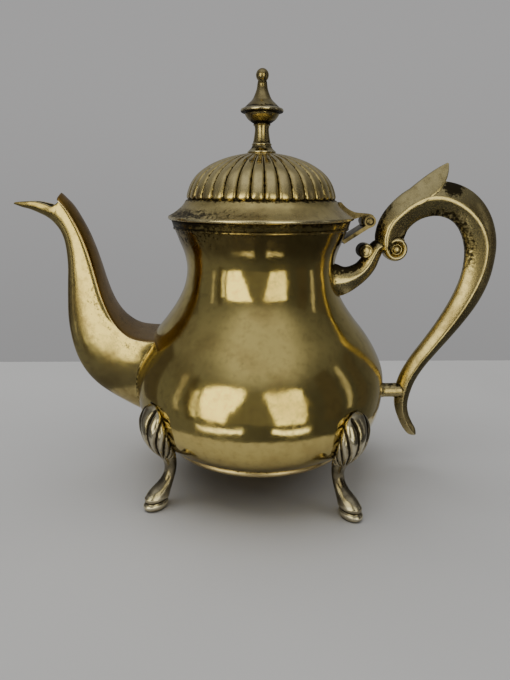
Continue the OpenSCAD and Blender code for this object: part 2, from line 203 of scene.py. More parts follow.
def joined(parts):
    """One list of points and faces out of several."""
    points, faces, start = [], [], 0
    for p, f in parts:
        points.append(np.array(p, float))
        faces += [tuple(i + start for i in face) for face in f]
        start += len(p)
    return np.vstack(points), faces


def place(piece, body, material, replaces=()):
    """Gives a piece its body, its finish and the CAD nodes it stands for."""
    piece.data.materials.clear()
    piece.data.materials.append(material)
    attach(piece, body)
    if replaces:
        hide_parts(*replaces)
    return piece


def finish_node(node, material):
    """Gives a CAD node that stays as it is its material."""
    cad = frame["nodes"][node]
    cad.data.materials.clear()
    cad.data.materials.append(material)


# ------------ materials

def add(tree, kind, inputs=None, **settings):
    """A shader node, with its inputs set or linked."""
    made = tree.nodes.new(kind)
    for key, value in settings.items():
        setattr(made, key, value)
    for key, value in (inputs or {}).items():
        if isinstance(value, bpy.types.NodeSocket):
            tree.links.new(value, made.inputs[key])
        else:
            made.inputs[key].default_value = value
    return made


def noise(tree, place_at, scale, detail=4.0, roughness=0.55):
    return add(tree, "ShaderNodeTexNoise", {
        "Vector": place_at, "Scale": scale, "Detail": detail, "Roughness": roughness}).outputs["Fac"]


def remap(tree, value, low, high, to_low=0.0, to_high=1.0):
    return add(tree, "ShaderNodeMapRange", {
        "Value": value, "From Min": low, "From Max": high, "To Min": to_low, "To Max": to_high,
    }, interpolation_type="SMOOTHSTEP").outputs["Result"]


def calc(tree, operation, a, b):
    return add(tree, "ShaderNodeMath", {0: a, 1: b}, operation=operation, use_clamp=False).outputs[0]


def mix(tree, factor, a, b):
    """Colour between a and b. A colour is a socket or (red, green, blue)."""
    colours = [c if isinstance(c, bpy.types.NodeSocket) else (*c, 1.0) for c in (a, b)]
    return add(tree, "ShaderNodeMix", {0: factor, 6: colours[0], 7: colours[1]}, data_type="RGBA").outputs[2]


def mark(tree, name):
    return add(tree, "ShaderNodeAttribute", attribute_name=name).outputs["Fac"]


PATCH_SCALE = 38
SWELL_SCALE = 55
PIT_SCALE = 95
MOTTLE_SCALE = 240
GRIME_SCALE = 520
SPECKLE_SCALE = 1300
SWELL_HEIGHT = 0.0012
SPECKLE_HEIGHT = 0.00012
PIT_COLOUR = (0.05, 0.035, 0.02)


def brass(name, clean, tarnish, shine, patches=0.5, mottle=0.25, spots=0.5, worn_and_highlight=(0.95, 0.86, 0.58),
          grime_colour=(0.022, 0.017, 0.011), dents=0.25, grain=0.1):
    """Aged brass: patches of tarnish, fine mottling, pits, dark hollows and bright rubbed ridges, with some
    painted shade, painted dark reflection and painted highlight.

    The pieces' marks say where: the grime mark is ragged dark dirt and in places painted shade and painted
    dark reflection, the stain mark is smooth tarnish and on the ankles painted dark reflection, and the wear
    mark is bright rubbed metal and along some ridges painted highlight.
    """
    made = bpy.data.materials.new(name)
    made.use_nodes = True
    tree = made.node_tree
    shader = tree.nodes["Principled BSDF"]
    shader.inputs["Metallic"].default_value = 1.0
    at = add(tree, "ShaderNodeTexCoord").outputs["Object"]
    cloud = noise(tree, at, PATCH_SCALE, 5)
    cloud_fine = noise(tree, at, MOTTLE_SCALE, 6, 0.65)
    speckle = noise(tree, at, SPECKLE_SCALE, 3, 0.6)
    cells = add(tree, "ShaderNodeTexVoronoi", {"Vector": at, "Scale": PIT_SCALE, "Randomness": 1.0})
    in_pit = remap(tree, cells.outputs["Distance"], 0.075, 0.03)
    pits = calc(tree, "MULTIPLY", in_pit, remap(tree, cloud_fine, 0.52, 0.6))
    grain_dirt = noise(tree, at, GRIME_SCALE, 5, 0.65)
    grime = mark(tree, "grime")
    wear = mark(tree, "wear")

    patch = calc(tree, "MULTIPLY", remap(tree, cloud, 0.46, 0.68), patches)
    colour = mix(tree, patch, clean, tarnish)
    fleck = calc(tree, "MULTIPLY", remap(tree, cloud_fine, 0.45, 0.75), mottle)
    colour = mix(tree, fleck, colour, tuple(0.55 * c for c in tarnish))
    # bright rubbed metal, which along some ridges is a painted highlight
    colour = mix(tree, calc(tree, "MULTIPLY", wear, 0.8), colour, worn_and_highlight)
    dirt_and_shade = calc(tree, "ADD", grain_dirt, calc(tree, "MULTIPLY", grime, 0.55))
    ragged = remap(tree, dirt_and_shade, 0.6, 0.84, 0, 0.96)
    # smooth tarnish, which on the legs' ankles is also a painted dark reflection
    stain = calc(tree, "MULTIPLY", mark(tree, "stain"), remap(tree, cloud_fine, 0.3, 0.6, 0.7, 0.95))
    colour = mix(tree, stain, colour, tuple(0.6 * c for c in tarnish))
    # dark dirt colour, which in places is painted shade and painted dark reflection
    dark_grime_and_shade = calc(tree, "MULTIPLY", ragged, calc(tree, "MINIMUM", calc(tree, "MULTIPLY", grime, 4.0), 1.0))
    colour = mix(tree, dark_grime_and_shade, colour, grime_colour)
    colour = mix(tree, calc(tree, "MULTIPLY", pits, spots), colour, PIT_COLOUR)
    tree.links.new(colour, shader.inputs["Base Color"])

    rough = calc(tree, "ADD", remap(tree, cloud_fine, 0.3, 0.75, shine, shine + 0.09),
                 calc(tree, "MULTIPLY", patch, 0.08))
    rough = calc(tree, "ADD", rough, calc(tree, "MULTIPLY", dark_grime_and_shade, 0.3))
    tree.links.new(calc(tree, "MINIMUM", rough, 0.8), shader.inputs["Roughness"])

    swell = add(tree, "ShaderNodeBump", {
        "Height": noise(tree, at, SWELL_SCALE, 2), "Strength": dents, "Distance": SWELL_HEIGHT})
    fine = add(tree, "ShaderNodeBump", {
        "Height": calc(tree, "ADD", speckle, calc(tree, "MULTIPLY", cloud_fine, 2.0)),
        "Strength": grain, "Distance": SPECKLE_HEIGHT, "Normal": swell.outputs["Normal"]})
    tree.links.new(fine.outputs["Normal"], shader.inputs["Normal"])
    return made


BODY_BRASS = brass("body_brass", (0.72, 0.575, 0.2), (0.42, 0.30, 0.10), 0.07, patches=0.55, mottle=0.3)
BASE_BRASS = brass("base_brass", (0.5, 0.38, 0.15), (0.33, 0.22, 0.08), 0.27, patches=0.8, mottle=0.6)
SPOUT_BRASS = brass("spout_brass", (0.66, 0.535, 0.21), (0.36, 0.27, 0.11), 0.12, patches=0.8, mottle=0.45)
PLATE_BRASS = brass("plate_brass", (0.34, 0.2, 0.045), (0.19, 0.115, 0.03), 0.2, patches=0.7, mottle=0.5)
CAST_BRASS = brass("cast_brass", (0.56, 0.47, 0.23), (0.30, 0.23, 0.10), 0.2, patches=0.6, mottle=0.5,
                   grain=0.25)
LEG_BRASS = brass("leg_brass", (0.5, 0.44, 0.29), (0.17, 0.14, 0.09), 0.14, patches=0.7, mottle=0.7,
                  worn_and_highlight=(0.84, 0.78, 0.58), grain=0.35)
LID_BRASS = brass("lid_brass", (0.72, 0.58, 0.24), (0.42, 0.32, 0.13), 0.17, patches=0.75, mottle=0.45)
FINIAL_BRASS = brass("finial_brass", (0.46, 0.38, 0.18), (0.2, 0.15, 0.07), 0.16, patches=0.8, mottle=0.5)
HINGE_BRASS = brass("hinge_brass", (0.2, 0.165, 0.09), (0.06, 0.048, 0.028), 0.28, patches=0.9, mottle=0.9,
                    grain=0.4)


# ------------ body, base and collar

BODY_POINTS = [
    (55.2, 26), (63, 30.2), (69.5, 37.5), (73.5, 47), (75, 59), (74.2, 69.5), (70.2, 79.5), (64, 89.5),
    (56, 99.5), (49.2, 109.3), (44.7, 118.8), (42.9, 128.5), (44, 137), (46.6, 144.3), (49.1, 151),
]
NECK_TOP = (50, 155.3)
WALL = 1.5
BODY_OUTER = curve(BODY_POINTS, 9)
BODY_SEGMENTS = 360


def body_radius(z):
    """Radius of the body's outer surface at a height."""
    return np.interp(z, BODY_OUTER[:, 1], BODY_OUTER[:, 0])


def axis_distance(points):
    return np.hypot(points[:, 0], points[:, 1])


def outside_body(points, sink=0.6):
    """Points inside the body moved out to just under its skin, so that nothing shows inside the pot."""
    p = np.array(points, float)
    r = axis_distance(p)
    least = body_radius(p[:, 2]) - sink
    inside = (p[:, 2] >= BODY_POINTS[0][1]) & (r < least)
    scale = np.where(inside, least / np.maximum(r, 1e-6), 1)
    p[:, 0] *= scale
    p[:, 1] *= scale
    return p


def cut_holes(piece, drills):
    """Cuts the drills out of a piece with an exact boolean."""
    cutter = make_piece("cutter", *joined(drills))
    modifier = piece.modifiers.new("holes", "BOOLEAN")
    modifier.operation, modifier.solver, modifier.object = "DIFFERENCE", "EXACT", cutter
    bpy.context.view_layer.update()
    evaluated = piece.evaluated_get(bpy.context.evaluated_depsgraph_get())
    cut = bpy.data.meshes.new_from_object(evaluated)
    piece.modifiers.clear()
    piece.data = cut
    bpy.data.objects.remove(cutter)


def near_bearing(points, bearing, spread):
    """How near points are to a bearing round Z, in degrees from +X, as a soft bump from 0 to 1."""
    around = np.degrees(np.arctan2(points[:, 1], points[:, 0]))
    return np.exp(-(((around - bearing + 180) % 360 - 180) / spread)**2)


def strainer_drills():
    """Drills for the rows of small holes behind the spout's root, along -X."""
    pitch, hole_r, field_z, rings, start, length = 6, 1.5, 66.5, 2, 63, 20
    drills = []
    for i in range(-rings, rings + 1):
        for j in range(-rings, rings + 1):
            if abs(i + j) <= rings:
                drill, faces = lathe([(0, 0), (hole_r, 0), (hole_r, length), (0, length)], 24)
                y, z = pitch * (i + j / 2), field_z + pitch * j * math.sin(math.radians(60))
                drill = np.column_stack([-drill[:, 2] - start, drill[:, 0] + y, drill[:, 1] + z])
                drills.append((drill, faces))
    return drills


def make_body():
    inner = shifted(BODY_OUTER, WALL)
    outline = np.vstack([BODY_OUTER, [NECK_TOP], [(NECK_TOP[0] - WALL, NECK_TOP[1])], inner[::-1],
                         [(BODY_POINTS[0][0] - WALL, BODY_POINTS[0][1])]])
    body = make_piece("body", *lathe(outline, BODY_SEGMENTS))
    cut_holes(body, strainer_drills())
    at = np.array([v.co for v in body.data.vertices]) / MM
    z, outer = at[:, 2], axis_distance(at) > body_radius(at[:, 2]) - 0.5
    patina = (0.34 * near_bearing(at, -150, 40) * np.exp(-((z - 147) / 6)**2)
              + 0.2 * near_bearing(at, -150, 22) * np.exp(-((z - 38) / 9)**2)
              + 0.2 * np.exp(-((z - 151) / 1.5)**2))
    stain = 0.95 * smoothstep(z, 134, 144) + 0.35 * near_bearing(at, -170, 40) * smoothstep(-z, -70, -45)
    set_mark(body.data, "grime", np.where(outer, patina, 0.3))
    set_mark(body.data, "stain", stain)
    return place(body, POT, BODY_BRASS, ["body_bowl", "body_shoulder", "body_neck"])


def make_base():
    low = box_mm("base_plate")[0][2]
    bead_r, edge_r, step_r = 2.2, 55, 53.6
    seat_z, inside_z = BODY_POINTS[0][1], low + 2.8
    bead_top = math.degrees(math.asin((seat_z - low - bead_r) / bead_r))
    dish = curve([(0, low + 0.8), (20, low + 0.7), (42, low + 0.35), (51, low)], 6)
    outline = np.vstack([dish, arc((edge_r, low + bead_r), bead_r, -90, bead_top, 14),
                         [(step_r, seat_z), (step_r, inside_z), (0, inside_z)]])
    points, faces = lathe(outline, 240)
    r = axis_distance(points)
    wear = smoothstep(r, 54.5, 56.8) * (points[:, 2] < seat_z)
    base = make_piece("base", points, faces, wear=wear * 0.3)
    return place(base, POT, BASE_BRASS, ["base_plate"])


def make_collar():
    top = box_mm("rim_collar")[1][2]
    bead_z, groove_z, lip_r, bore_r = 151.9, 152.8, 0.35, 48.5
    bead = arc((49.6, bead_z), 0.55, -110, 60, 8)
    outer = curve([(49.95, 152.7), (50.2, 153.6), (50.6, 155), (50.85, top - lip_r)], 4)
    lip = arc((50.55, top - lip_r), lip_r, 0, 90, 4)
    bore = [(bore_r, top), (bore_r, NECK_TOP[1]), (49.6, NECK_TOP[1])]
    points, faces = lathe(np.vstack([[(49.0, 151.2)], bead, outer, lip, bore]), BODY_SEGMENTS)
    r, z = axis_distance(points), points[:, 2]
    on_bead = np.exp(-((z - bead_z) / 0.5)**2) * (r > 49.8)
    in_groove = np.exp(-((z - groove_z) / 0.35)**2) * (r > 49.8)
    grime = 0.2 + 0.4 * in_groove + 0.3 * near_bearing(points, -160, 45) + 0.3 * smoothstep(z, 154, 155.5)
    collar = make_piece("collar", points, faces, grime=np.clip(grime, 0, 1),
                        wear=on_bead * 0.12, stain=np.full(len(points), 0.8))
    return place(collar, POT, BODY_BRASS, ["rim_collar"])


# ------------ spout

REACH = box_mm("spout_channel")[0][0] * -1
# [top reach, top z, under reach, under z, half width]
SPOUT_POINTS = [
    (60, 88.4, 66, 37, 20.5), (67, 88.6, 73.5, 40.5, 20.2), (74.5, 90, 83, 45.8, 18.8),
    (80, 93.2, 91.5, 51, 17), (84.8, 98.2, 99.5, 57, 15), (88.4, 104.2, 106, 64.5, 13.4),
    (91.2, 111.2, 110.7, 74, 12.2), (93.5, 119.3, 113.5, 86, 11.2), (95.6, 128.3, 114.4, 99.5, 10.2),
    (98.1, 137.8, 113.3, 115, 9.4), (101.2, 147, 111.8, 130, 8.8), (104.9, 155.2, 112.1, 142, 8.3),
    (108.3, 161.3, 114, 149, 8), (112, 165.5, 117.4, 154, 7.5), (116.3, 163, 120.5, 156.8, 6.6),
    (120.3, 164.2, 124.2, 158.8, 5.5), (126.5, 165.5, 129.8, 161.2, 4.2), (132.5, 165.4, 134.6, 162.5, 2.8),
    (REACH - 1, 165.1, REACH - 0.05, 164.2, 1.2),
]
PLATE_END = 13
SPOUT_STEPS = 8
ROOT_ROWS = 8 * SPOUT_STEPS
SPOUT_WALL = 1.2
SIDE_POINTS = 40
LIP_POINTS = 3


def spout_line():
    """Dense stations. The top edge has a corner where the plate ends, and the rest runs smoothly past it."""
    line = curve(SPOUT_POINTS, SPOUT_STEPS)
    line[:, :2] = np.vstack([curve([p[:2] for p in SPOUT_POINTS[:PLATE_END + 1]], SPOUT_STEPS)[:-1],
                             curve([p[:2] for p in SPOUT_POINTS[PLATE_END:]], SPOUT_STEPS)])
    return line


SPOUT_LINE = spout_line()


def spout_at(station, width, depth):
    """Point of the section: width as a part of the half width, depth from the top edge down as a part."""
    s = np.asarray(station)
    return np.array([-(s[0] + (s[2] - s[0]) * depth), s[4] * width, s[1] + (s[3] - s[1]) * depth])


def spout_section(s):
    """Closed section of the trough: SIDE_POINTS outside, a rounded lip, SIDE_POINTS inside, a rounded lip."""
    depth = math.hypot(s[2] - s[0], s[3] - s[1])
    wall, floor = min(SPOUT_WALL, s[4] * 0.45), min(SPOUT_WALL, depth * 0.4)
    a = np.linspace(0, math.pi, SIDE_POINTS)
    width = np.sign(np.cos(a)) * np.abs(np.cos(a))**0.85
    down = np.sin(a)**0.9
    wall_part = wall / s[4]
    outer = list(zip(width, down))
    inner = list(zip(width * (1 - wall_part), down * (1 - floor / depth)))[::-1]
    rise = -0.35 * wall / depth
    left = [(-1 + wall_part * across, rise * up) for across, up in ((0.2, 0.8), (0.5, 1), (0.8, 0.8))]
    right = [(-w, d) for w, d in left][::-1]
    return np.array([spout_at(s, w, d) for w, d in outer + left + inner + right])


def rooted(rings, line_count, blend_rows):
    """Rings trimmed so that each of their lines starts just under the body's skin."""
    rings = np.array(rings, float)
    out = rings.copy()
    for j in range(line_count):
        line = rings[:, j]
        gap = axis_distance(line) - (body_radius(line[:, 2]) - 0.5)
        first = int(np.argmax(gap > 0))
        start = first - gap[first] / (gap[first] - gap[first - 1]) if first > 0 else 0.0
        at = start + (blend_rows - start) * np.linspace(0, 1, blend_rows + 1)
        index = np.arange(len(line))
        for k in range(3):
            out[:blend_rows + 1, j, k] = np.interp(at, index, line[:, k])
    return out


def make_spout():
    rings = [spout_section(s) for s in SPOUT_LINE]
    n = len(rings[0])
    # each ring starts in the middle of a lip, so that the end caps run between outside and inside
    order = np.roll(np.arange(n), 2)
    rings = rooted(rings, n, ROOT_ROWS)[:, order]
    points, faces = loft(rings)
    row = np.repeat(np.arange(len(rings)), n)
    column = np.tile(order, len(rings))
    outside = column < SIDE_POINTS
    inside = (column >= SIDE_POINTS + LIP_POINTS) & (column < 2 * SIDE_POINTS + LIP_POINTS)
    lip = ~outside & ~inside
    beak = smoothstep(row, PLATE_END * SPOUT_STEPS, (PLATE_END + 1) * SPOUT_STEPS)
    edge = np.minimum(column, np.abs(column - (SIDE_POINTS - 1)))
    by_plate = np.exp(-((edge - 1.0) / 0.8)**2) * outside * (1 - beak) * 0.22
    smudge = np.exp(-((edge - 3) / 2.0)**2) * np.exp(-((points[:, 2] - 110) / 9)**2) * outside * 0.2
    grime = np.clip(inside * (0.45 + 0.25 * beak) + by_plate + smudge, 0, 1)
    foot = smoothstep(-points[:, 2], -75, -52) * 0.45
    spout = make_piece("spout", points, faces, sharp=50, grime=grime, wear=lip * (0.35 + 0.4 * beak),
                       stain=np.clip(foot + 0.55 * beak * (1 - lip), 0, 1))
    return place(spout, POT, SPOUT_BRASS, ["spout_channel"])


def make_plate():
    """Arched strip that closes the trough, a little proud of it, with a rounded tongue at the beak."""
    last, before = SPOUT_POINTS[PLATE_END], SPOUT_POINTS[PLATE_END - 1]
    way = np.array(last[:2]) - np.array(before[:2])
    way /= np.linalg.norm(way)
    line = list(SPOUT_LINE[:PLATE_END * SPOUT_STEPS + 1])
    for width, ahead in ((0.985, 0.5), (0.94, 1.0), (0.85, 1.5), (0.7, 1.95), (0.5, 2.25), (0.25, 2.4)):
        line.append(np.array([last[0] + way[0] * ahead, last[1] + way[1] * ahead,
                              last[2] + way[0] * ahead, last[3] + way[1] * ahead, last[4] * width]))
    across = np.sin(np.linspace(-math.pi / 2, math.pi / 2, 25))
    lift, crown_height, overhang, edge_t = 0.25, 2.2, 0.3, 0.12
    rings = []
    for i, s in enumerate(line):
        depth = math.hypot(s[2] - s[0], s[3] - s[1])
        crown = crown_height * min(i / ROOT_ROWS, 1)
        proud = 1 + overhang / s[4]
        under = [(u, lift + crown * max(0, 1 - (u / 0.9)**2)) for u in across]
        over = [(u, lift + crown * max(0, 1 - u * u) + SPOUT_WALL * (1 - abs(u)**14)**0.5 * 0.8 + edge_t)
                for u in across[::-1]]
        rings.append([spout_at(s, u * proud, -up / depth) for u, up in under + over])
    n = len(rings[0])
    rings = rooted(rings, n, ROOT_ROWS)
    points, faces = loft(rings)
    column = np.tile(np.arange(n), len(rings))
    side = np.minimum(np.abs(column - (n - 1) / 2), np.minimum(column, n - 1 - column) + 0.5)
    wear = np.exp(-(side / 1.3)**2)
    plate = make_piece("spout_plate", points, faces, sharp=50, wear=wear)
    return place(plate, POT, PLATE_BRASS, ["spout_top_plate"])


def tube(path, radius, n=10):
    """Points and faces of a round bead that follows a path."""
    path = np.array(path, float)
    along = np.gradient(path, axis=0)
    along /= np.linalg.norm(along, axis=1)[:, None]
    outward = path * (1, 1, 0)
    outward /= np.linalg.norm(outward, axis=1)[:, None]
    side = np.cross(along, outward)
    side /= np.linalg.norm(side, axis=1)[:, None]
    up = np.cross(side, along)
    a = np.linspace(0, 2 * math.pi, n, endpoint=False)
    across, out = radius * np.cos(a)[:, None], radius * np.sin(a)[:, None]
    return loft([p + across * u + out * v for p, u, v in zip(path, side, up)])


def make_spout_solder():
    """Thin fillet of solder round the root of the spout."""
    bead_r = 0.55
    rings = rooted([spout_section(s) for s in SPOUT_LINE], SIDE_POINTS, ROOT_ROWS)
    root = np.array(rings[0][:SIDE_POINTS])
    r = axis_distance(root)
    root[:, :2] *= ((r + bead_r) / r)[:, None]
    points, faces = tube(curve(root, 3), bead_r)
    solder = make_piece("spout_solder", points, faces, grime=np.full(len(points), 0.4))
    return place(solder, POT, SPOUT_BRASS)


# ------------ handle and brackets

HANDLE_W = 14.4
# [x, z, tilt of the outer side, half depth, half width as a part of HANDLE_W, place of the side ridge]
HANDLE_POINTS = [
    (75.3, 140.5, 190, 7, 0.42, 0.4), (75.3, 147, 178, 8.5, 0.46, 0.4), (77.1, 153.8, 160, 8.7, 0.48, 0.33),
    (81.3, 159.8, 140, 8.8, 0.5, 0.17), (87.8, 165, 122, 9.2, 0.5, 0.1), (96, 168.2, 104, 9.7, 0.5, 0.1),
    (105, 168.4, 86, 9.7, 0.5, 0.02), (114.1, 165.6, 68, 9.6, 0.5, -0.08), (121.4, 160, 48, 9.5, 0.5, -0.05),
    (126.7, 152, 27, 9.4, 0.49, 0.08), (129.7, 142.5, 10, 9.2, 0.48, 0.18), (130.2, 133, -3, 8.8, 0.46, 0.18),
    (128.9, 122.5, -12, 8.5, 0.45, 0.08), (125.2, 111.5, -22, 8, 0.44, 0), (119.5, 100.5, -31, 7.2, 0.42, 0),
    (112.8, 89.8, -35, 6.4, 0.4, 0), (105.5, 79.3, -36, 5.8, 0.38, 0), (98.5, 69, -34, 5.5, 0.36, 0),
    (93.5, 59, -22, 5.3, 0.34, 0), (91.2, 49, -6, 4.8, 0.32, 0), (91.3, 40, 8, 4, 0.29, 0),
    (93.6, 32.5, 26, 3.5, 0.25, 0), (96.7, 26.5, 38, 3.4, 0.22, 0), (99.8, 22.3, 45, 2.9, 0.18, 0),
    (102.2, 19.9, 45, 1, 0.07, 0),
]
LEAF_POINTS = [
    (79.4, 162.2, 132, 4.6, 0.42, -0.1), (84.6, 165.6, 130, 5.8, 0.48, -0.3),
    (89.3, 169.2, 129, 6.5, 0.51, -0.5), (96, 175.1, 129, 6.2, 0.46, -0.68),
    (100.6, 180.2, 131, 4.8, 0.34, -0.76), (103.6, 184.5, 136, 2.8, 0.2, -0.74),
    (105.4, 187.9, 140, 0.5, 0.05, -0.6),
]
VOLUTE = (78.8, 140)
VOLUTE_R = 7.4


def ridged_section(s, n=56):
    """Section with a soft ridge on each side, each point's nearness to the ridge, and its side."""
    a = np.linspace(0, 2 * math.pi, n, endpoint=False) + math.pi / n
    c = np.cos(a)
    soft = np.sqrt(c * c + 0.05**2) - 0.05
    outer = c > 0
    depth = s[5] + np.where(outer, 1 - s[5], 1 + s[5]) * c
    bulge = np.where(outer, (1 - soft)**0.62, (1 - soft)**0.55)
    width = np.sign(np.sin(a)) * bulge * s[4] * HANDLE_W
    tilt = math.radians(s[2])
    x, z = s[0] + s[3] * depth * math.cos(tilt), s[1] + s[3] * depth * math.sin(tilt)
    return np.column_stack([x, width, z]), np.exp(-(c / 0.06)**2), c


def ridged_loft(stations):
    """Points and faces of a bar, with each point's nearness to the ridge and its side."""
    sections = [ridged_section(s) for s in stations]
    points, faces = loft([s[0] for s in sections])
    return points, faces, np.concatenate([s[1] for s in sections]), np.concatenate([s[2] for s in sections])


def make_handle():
    loop_points, loop_faces, loop_ridge, loop_side = ridged_loft(curve(HANDLE_POINTS, 8))
    leaf_points, leaf_faces, leaf_ridge, leaf_side = ridged_loft(curve(LEAF_POINTS, 10))
    points, faces = joined([(loop_points, loop_faces), (leaf_points, leaf_faces)])
    ridge = np.concatenate([loop_ridge, leaf_ridge])
    # speckled tarnish on the inner panels of the upper loop, and painted shadow on the loop behind the leaf
    inner = np.concatenate([smoothstep(-loop_side, 0.25, 0.8), 0 * leaf_side])
    x, z = points[:, 0], points[:, 2]
    upper = smoothstep(z, 118, 138) * smoothstep(x, 88, 100)
    # painted shadow that the leaf casts on the loop behind it
    behind = np.exp(-(((x - 108.5) / 5.5)**2 + ((z - 174.5) / 4)**2))
    front = np.concatenate([smoothstep(loop_side, 0.55, 0.95), 0 * leaf_side])
    front = front * smoothstep(-x, -80, -70) * 0.6
    notch = np.exp(-(((x - 84.5) / 2.5)**2 + ((z - 147.5) / 2.5)**2)) * 0.8
    grime = np.clip(inner * upper * 0.5 + behind * 1.3 + front + notch, 0, 1)
    # the bright mark along the crease ridge is a painted highlight
    handle = make_piece("handle", points, faces, sharp=60, grime=grime, wear=ridge * 0.35 * (1 - grime))
    return place(handle, POT, CAST_BRASS, ["handle"])


def make_volute():
    """Scroll at the top of the handle: a rim that tightens as it turns in, round a sunken eye."""
    half = [(0, 3.9), (2.4, 3.9), (3.4, 4.0), (4.0, 4.5), (4.6, 5.35), (5.2, 5.75), (5.9, 5.7), (6.6, 5.1),
            (7.15, 3.9), (7.35, 2.4), (VOLUTE_R, 0)]
    upper = curve(half, 4)
    lower = upper[::-1][1:] * (1, -1)
    points, faces = lathe(np.vstack([upper, lower]), 96)
    scroll_start, tightening = 50, 0.1
    turn = (np.degrees(np.arctan2(points[:, 1], points[:, 0])) - scroll_start) % 360 / 360
    r = axis_distance(points)
    points[:, :2] *= (1 - tightening * turn)[:, None]
    grime = smoothstep(-r, -4.8, -3.6) * 0.5
    wear = np.exp(-((r - 5.3) / 0.5)**2) * 0.25
    volute = make_piece("handle_volute", across_y(points, VOLUTE), faces, grime=grime, wear=wear)
    return place(volute, POT, CAST_BRASS)


def make_volute_pin():
    """Ringed head of the pin, on both sides of the volute's eye."""
    face = 4.1
    half = [(3.1, face - 0.4), (3.1, face + 0.5), (2.85, face + 0.85), (2.45, face + 0.6), (2.1, face + 0.35),
            (1.75, face + 0.7), (1.35, face + 1.25), (0.7, face + 1.5), (0, face + 1.55)]
    upper = curve(half, 4)[::-1]
    points, faces = lathe(np.vstack([upper, upper[::-1] * (1, -1)]), 48)
    r = axis_distance(points)
    grime = np.exp(-((r - 2.2) / 0.35)**2) * 0.8
    pin = make_piece("volute_pin", across_y(points, VOLUTE), faces, grime=grime, wear=(1 - grime) * 0.1)
    return place(pin, POT, CAST_BRASS, ["handle_volute_pin"])


# [x, z, half depth, half width]
BRACKET_POINTS = [
    (42, 121.2, 10.6, 5.6), (48.5, 121.3, 8.8, 5.2), (54, 123, 7, 5), (59.6, 126.6, 5.8, 5),
    (63.3, 131, 5.3, 5), (65.8, 136.3, 4.8, 5.2), (68.5, 141, 4.2, 5.2), (73, 142.5, 3.6, 4.8),
]
CURL = (60.9, 139.1)


def make_upper_bracket():
    """S-shaped arm from the neck to the volute, with a small curl on its upper side."""
    line = curve(BRACKET_POINTS, 8)
    along = np.gradient(line[:, :2], axis=0)
    along /= np.linalg.norm(along, axis=1)[:, None]
    a = np.linspace(0, 2 * math.pi, 40, endpoint=False) + math.pi / 40
    rings = []
    for (x, z, r, half_w), (dx, dz) in zip(line, along):
        soft = np.sqrt(np.cos(a)**2 + 0.06**2) - 0.06
        width = np.sign(np.sin(a)) * (1 - soft)**0.55 * half_w
        rings.append(np.column_stack([x - dz * r * np.cos(a), width, z + dx * r * np.cos(a)]))
    arm, arm_faces = loft(rings)
    upper = np.tile(np.cos(a), len(rings))
    curl_outline = curve([(0, 4.9), (2, 4.9), (2.9, 5.3), (3.6, 5.2), (4.2, 4.3), (4.4, 2.4), (4.45, 0)], 4)
    curl, curl_faces = lathe(np.vstack([curl_outline, curl_outline[::-1][1:] * (1, -1)]), 64)
    curl = across_y(curl, CURL)
    points, faces = joined([(outside_body(arm), arm_faces), (curl, curl_faces)])
    # painted dark reflection on the arm's upper side, and painted shade on the curl's side towards the body
    dark = np.concatenate([smoothstep(upper, 0.1, 0.8) * 0.75, smoothstep(-curl[:, 0], -62, -58.5) * 0.75])
    # painted highlight along the arm's lower side
    ridge = np.concatenate([np.exp(-((upper + 0.1) / 0.15)**2) * 0.5, 0 * curl[:, 0]])
    bracket = make_piece("upper_bracket", points, faces, sharp=60, grime=dark, wear=ridge)
    return place(bracket, POT, CAST_BRASS, ["upper_bracket"])


def make_lower_bracket():
    at_z, from_x, length = 51, 66, 24
    bar = curve([(7.4, 0), (7, 6.5), (5.6, 9.2), (4.6, 12.5), (4.4, 16), (4.6, length)], 8)
    points, faces = lathe(np.vstack([[(0, 0)], bar, [(0, length)]]), 48)
    points = np.column_stack([points[:, 2] + from_x, points[:, 1], at_z + points[:, 0]])
    bracket = make_piece("lower_bracket", outside_body(points), faces,
                         grime=smoothstep(points[:, 2], at_z + 1, at_z + 5) * 0.5)
    return place(bracket, POT, CAST_BRASS, ["lower_bracket"])


# ------------ legs

KNEE_W = 26
# [distance from the axis, z, tilt of the outer side, half depth, half width as a part of KNEE_W]
LEG_POINTS = [
    (75.2, 62, 32, 0.8, 0.09), (76, 58.8, 26, 3.2, 0.27), (76.6, 53.2, 12, 5.5, 0.36),
    (76, 47.6, 0, 6.3, 0.38), (74.3, 42, -12, 6.3, 0.355), (71.6, 36.8, -22, 5.6, 0.3),
    (68.7, 31.8, -24, 4.5, 0.23),
    (66.9, 27, -14, 3.6, 0.178), (66.5, 22.2, 4, 3.15, 0.152), (67.8, 17.2, 22, 3.15, 0.145),
    (70.5, 12.8, 30, 4, 0.162), (73.8, 9.2, 24, 6, 0.182), (76, 6.6, 8, 7.3, 0.197),
]
# foot pad below the ankle: a groove, then a rounded rim that stands on the table
FOOT_POINTS = [
    (76.2, 5.9, 0, 7.1, 0.192), (76.3, 5.2, 0, 6.5, 0.177), (76.5, 4.5, 0, 6.7, 0.184),
    (76.7, 3.7, 0, 7.2, 0.2), (76.9, 2.6, 0, 7.4, 0.207), (77, 1.3, 0, 7, 0.196),
    (77.1, 0.4, 0, 6.2, 0.178), (77.2, 0, 0, 5.6, 0.16),
]
RIB_ANGLE = math.radians(15.5)
FOCUS_Z = 30
LEG_TURN = 6
LEG_BEARINGS = {"leg_front_right": -45, "leg_front_left": -135, "leg_back_left": 135, "leg_back_right": 45}


